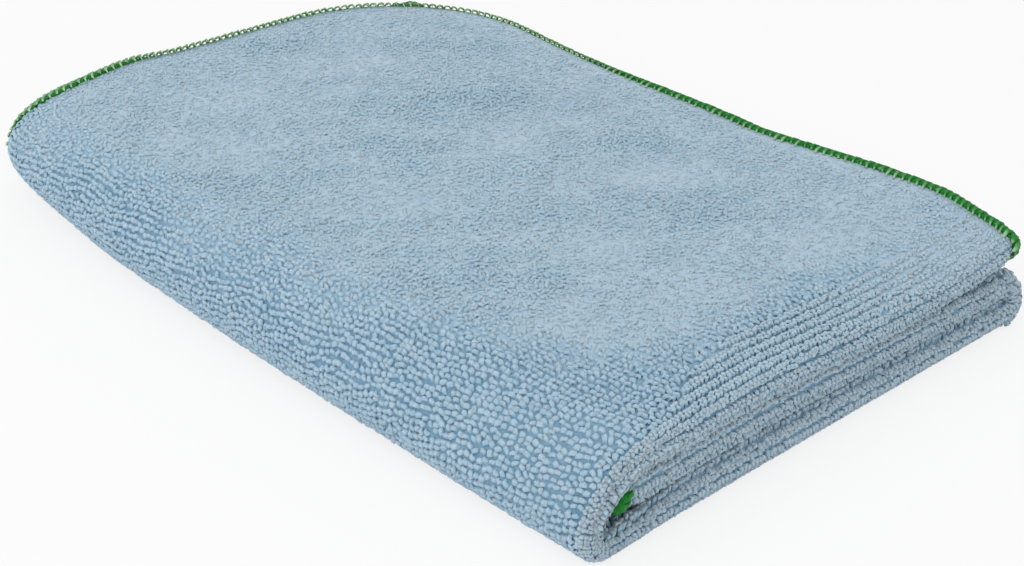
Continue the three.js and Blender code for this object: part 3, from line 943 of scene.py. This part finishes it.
def terry_material(pile):
    """Split microfibre yarn, warp-knitted in loops.

    Its fine filaments make it matt, with a soft bright fuzz at grazing angles. Light that goes in
    among the loops comes out bluer and dimmer. The colour paints this in: a painted highlight at the
    loops' crowns, and painted shade, darker and bluer, down towards their roots.
    """
    material, tree = new_material(TERRY)
    # Filaments are bundled into strands about 0.15 mm thick
    tip, strands = yarn_nodes(tree, (1.0, 6.5, 6.5))
    # Tufts lean by the handful, about 4 mm across
    where = add_node(tree, "TexCoord").outputs["Object"]
    tufts = add_node(tree, "TexNoise", {"Vector": where, "Scale": 1 / 0.004, "Detail": 2.0})
    # Each loop is a bundle of finer ones, which bulge about 0.5 mm apart
    bundles = add_node(tree, "TexNoise",
                       {"Vector": where, "Scale": 1 / 0.00055, "Detail": 2.0, "Roughness": 0.6})
    mottle = add_node(tree, "Math", {0: tufts, 1: bundles}, operation="ADD")
    lighter = add_node(tree, "MapRange", {
        "Value": mottle, "From Min": 0.6, "From Max": 1.4, "To Min": -0.4, "To Max": 0.4})
    # Painted shade: the colour runs from deep through roots to tips as the tip value rises from a
    # loop's roots to its crown, and the mottle shifts it at random
    share = add_node(tree, "Math", {0: tip, 1: lighter}, operation="ADD", use_clamp=True)
    flank = add_node(tree, "MapRange", {"Value": tip, "From Max": 0.3})
    low = add_node(tree, "Mix", {0: flank, 6: tuple(pile.deep), 7: tuple(pile.roots)},
                   data_type="RGBA")
    shade = add_node(tree, "Mix", {0: share, 6: low.outputs[2], 7: tuple(pile.tips)},
                     data_type="RGBA")
    fine = add_node(tree, "Bump", {"Height": strands, "Strength": 0.5, "Distance": 0.0002})
    bump = add_node(tree, "Bump",
                    {"Height": bundles, "Strength": 0.9, "Distance": 0.0004, "Normal": fine})
    shader = add_node(tree, "BsdfPrincipled", {
        "Base Color": shade.outputs[2],
        "Roughness": 0.92,
        "IOR": 1.5,
        "Specular IOR Level": 0.25,
        "Subsurface Weight": 0.6,
        "Subsurface Radius": (0.7, 0.9, 1.0),
        "Subsurface Scale": 0.001,
        "Sheen Weight": 0.35,
        "Sheen Roughness": 0.5,
        "Normal": bump,
    })
    add_node(tree, "OutputMaterial", {"Surface": shader})
    return material


def thread_material(overlock):
    """Textured polyester thread, dyed green: a soft sheen along bundled filaments.

    Where it lies over the pile, pale fibres come through it and lighten it.
    """
    material, tree = new_material("Polyester overlock thread, textured and dyed")
    # Filaments in bundles about 0.2 mm thick. Here the tip value says how pale the thread is
    pale, strands = yarn_nodes(tree, (0.9, 5.0, 5.0))
    share = add_node(tree, "MapRange", {"Value": strands, "From Min": 0.3, "From Max": 0.65})
    thread = add_node(tree, "Mix", {
        0: share, 6: tuple(overlock.deep_colour), 7: tuple(overlock.edge_colour),
    }, data_type="RGBA")
    shade = add_node(tree, "Mix", {
        0: pale, 6: thread.outputs[2], 7: tuple(overlock.tooth_colour),
    }, data_type="RGBA")
    bump = add_node(tree, "Bump", {"Height": strands, "Strength": 0.6, "Distance": 0.0003})
    shader = add_node(tree, "BsdfPrincipled", {
        "Base Color": shade.outputs[2],
        "Roughness": 0.6,
        "IOR": 1.5,
        "Specular IOR Level": 0.25,
        "Sheen Weight": 0.05,
        "Normal": bump,
    })
    add_node(tree, "OutputMaterial", {"Surface": shader})
    return material


def seen_directly(tree):
    """1 for rays from the camera or off a glossy surface, which see the plain white studio."""
    rays = add_node(tree, "LightPath").outputs
    direct = add_node(tree, "Math", {0: rays["Is Camera Ray"], 1: rays["Is Glossy Ray"]},
                      operation="MAXIMUM")
    return add_node(tree, "Math", {0: direct, 1: rays["Is Transmission Ray"]},
                    operation="MAXIMUM")


def make_world(fill):
    """An even white surround: white where it is seen, and a softer light on the towel."""
    world = bpy.data.worlds.new("studio")
    bpy.context.scene.world = world
    world.use_nodes = True
    tree = world.node_tree
    tree.nodes.clear()
    strength = add_node(tree, "MapRange",
                        {"Value": seen_directly(tree), "To Min": fill, "To Max": 1.0})
    surround = add_node(tree, "Background", {"Color": (1, 1, 1, 1), "Strength": strength})
    add_node(tree, "OutputWorld", {"Surface": surround})


def make_floor():
    """A white sweep that keeps the towel's shadow."""
    half = 3.0
    mesh = bpy.data.meshes.new("floor")
    mesh.from_pydata([(-half, -half, 0), (half, -half, 0), (half, half, 0), (-half, half, 0)], [],
                     [(0, 1, 2, 3)])
    floor = bpy.data.objects.new("floor", mesh)
    bpy.context.scene.collection.objects.link(floor)
    floor.location.z = -0.1 * MM
    material, tree = new_material("White paper sweep, matt")
    share = add_node(tree, "Math", {0: seen_directly(tree), 1: 0.8}, operation="MULTIPLY")
    paper = add_node(tree, "BsdfDiffuse", {"Color": (0.85, 0.85, 0.85, 1)})
    white = add_node(tree, "Emission", {"Color": (1, 1, 1, 1)})
    mixed = add_node(tree, "MixShader", {0: share, 1: paper, 2: white})
    add_node(tree, "OutputMaterial", {"Surface": mixed})
    mesh.materials.append(material)


def aim(obj, target):
    obj.rotation_euler = (Vector(target) - obj.location).to_track_quat("-Z", "Y").to_euler()


def make_softbox(name, spot, power):
    lamp = bpy.data.lights.new(name, "AREA")
    lamp.size = 0.8
    lamp.energy = power
    obj = bpy.data.objects.new(name, lamp)
    obj.location = spot
    bpy.context.scene.collection.objects.link(obj)
    aim(obj, (0, 0, 0))


def make_camera():
    """A camera that looks down at the corner between the big wrap and the first fold."""
    azimuth = math.radians(-42.126)
    elevation = math.radians(30.028)
    distance = 0.4098
    forward = Vector((
        -math.sin(azimuth) * math.cos(elevation),
        math.cos(azimuth) * math.cos(elevation),
        -math.sin(elevation),
    ))
    target = Vector((-10.3, -24.51, 4.41)) * MM
    camera = bpy.data.objects.new("camera", bpy.data.cameras.new("camera"))
    camera.data.lens = 67.6
    camera.location = target - forward * distance
    aim(camera, target)
    bpy.context.scene.collection.objects.link(camera)
    bpy.context.scene.camera = camera


class TOWEL_OT_make_stage(bpy.types.Operator):
    """Set up the white floor, the soft light and the camera"""

    bl_idname = "towel.make_stage"
    bl_label = "Make the stage"

    def execute(self, context):
        stage = context.scene.towel_stage
        make_world(stage.fill)
        make_floor()
        make_softbox("key softbox", (-0.55, 0.15, 0.9), stage.key)
        make_softbox("front softbox", (-0.55, -0.5, 0.32), stage.front)
        make_camera()
        context.scene.view_settings.view_transform = "Standard"
        return {"FINISHED"}


class TOWEL_OT_make_pile(bpy.types.Operator):
    """Stand the loops of yarn on the cloth, one piece or more for each region"""

    bl_idname = "towel.make_pile"
    bl_label = "Make the pile"

    def execute(self, context):
        pile = context.scene.towel_pile
        material = terry_material(pile)
        loops = cloth_loops(pile)
        for name, (mask, stations, sides) in pile_regions(loops).items():
            chosen = np.flatnonzero(mask)
            parts = math.ceil(len(chosen) * (stations - 1) * sides / MOST_QUADS)
            for i, some in enumerate(np.array_split(chosen, parts)):
                part = {key: values[some] for key, values in loops.items()}
                pile_piece(f"pile_{name}_{i + 1}", part, stations, sides, material)
        return {"FINISHED"}


class TOWEL_OT_make_overlock(bpy.types.Operator):
    """Wrap the cut edge with its overlock thread"""

    bl_idname = "towel.make_overlock"
    bl_label = "Make the overlock"

    def execute(self, context):
        overlock = context.scene.towel_overlock
        material = thread_material(overlock)
        rng = np.random.default_rng(context.scene.towel_pile.seed + 1)
        starts = even_stitches(overlock.stitch / MM)
        core = core_piece(material)
        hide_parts("overlock_edging")
        strand_piece("overlock_needle_thread", NEEDLE_STRAND, starts, rng, material)
        strand_piece("overlock_looper_thread", LOOPER_STRAND, starts, rng, material)
        return {"FINISHED"}


class TOWEL_OT_make_ground(bpy.types.Operator):
    bl_idname = "towel.make_ground"
    bl_label = "Make the ground"

    def execute(self, context):
        cloth = ground_piece(bpy.data.materials[TERRY])
        return {"FINISHED"}


class TOWEL_PT_tools(bpy.types.Panel):
    """Lists the towel's settings and the operators that make it"""

    bl_label = "Folded terry hand towel"
    bl_space_type = "VIEW_3D"
    bl_region_type = "UI"
    bl_category = "Towel"

    def draw(self, context):
        layout = self.layout
        for name, kind in SETTINGS.items():
            box = layout.box()
            for key in kind.__annotations__:
                box.prop(getattr(context.scene, name), key)
        for operator in OPERATORS:
            layout.operator(operator.bl_idname)


SETTINGS = {
    "towel_pile": TowelPile,
    "towel_overlock": TowelOverlock,
    "towel_stage": TowelStage,
}
OPERATORS = (
    TOWEL_OT_make_stage,
    TOWEL_OT_make_pile,
    TOWEL_OT_make_overlock,
    TOWEL_OT_make_ground,
)


def register():
    for kind in (*SETTINGS.values(), *OPERATORS, TOWEL_PT_tools):
        bpy.utils.register_class(kind)
    for name, kind in SETTINGS.items():
        setattr(bpy.types.Scene, name, PointerProperty(type=kind))


def unregister():
    for name in SETTINGS:
        delattr(bpy.types.Scene, name)
    for kind in (TOWEL_PT_tools, *reversed(OPERATORS), *reversed(SETTINGS.values())):
        bpy.utils.unregister_class(kind)


def main():
    register()
    bpy.ops.towel.make_stage()
    bpy.ops.towel.make_pile()
    bpy.ops.towel.make_overlock()
    bpy.ops.towel.make_ground()


if __name__ == "__main__":
    main()
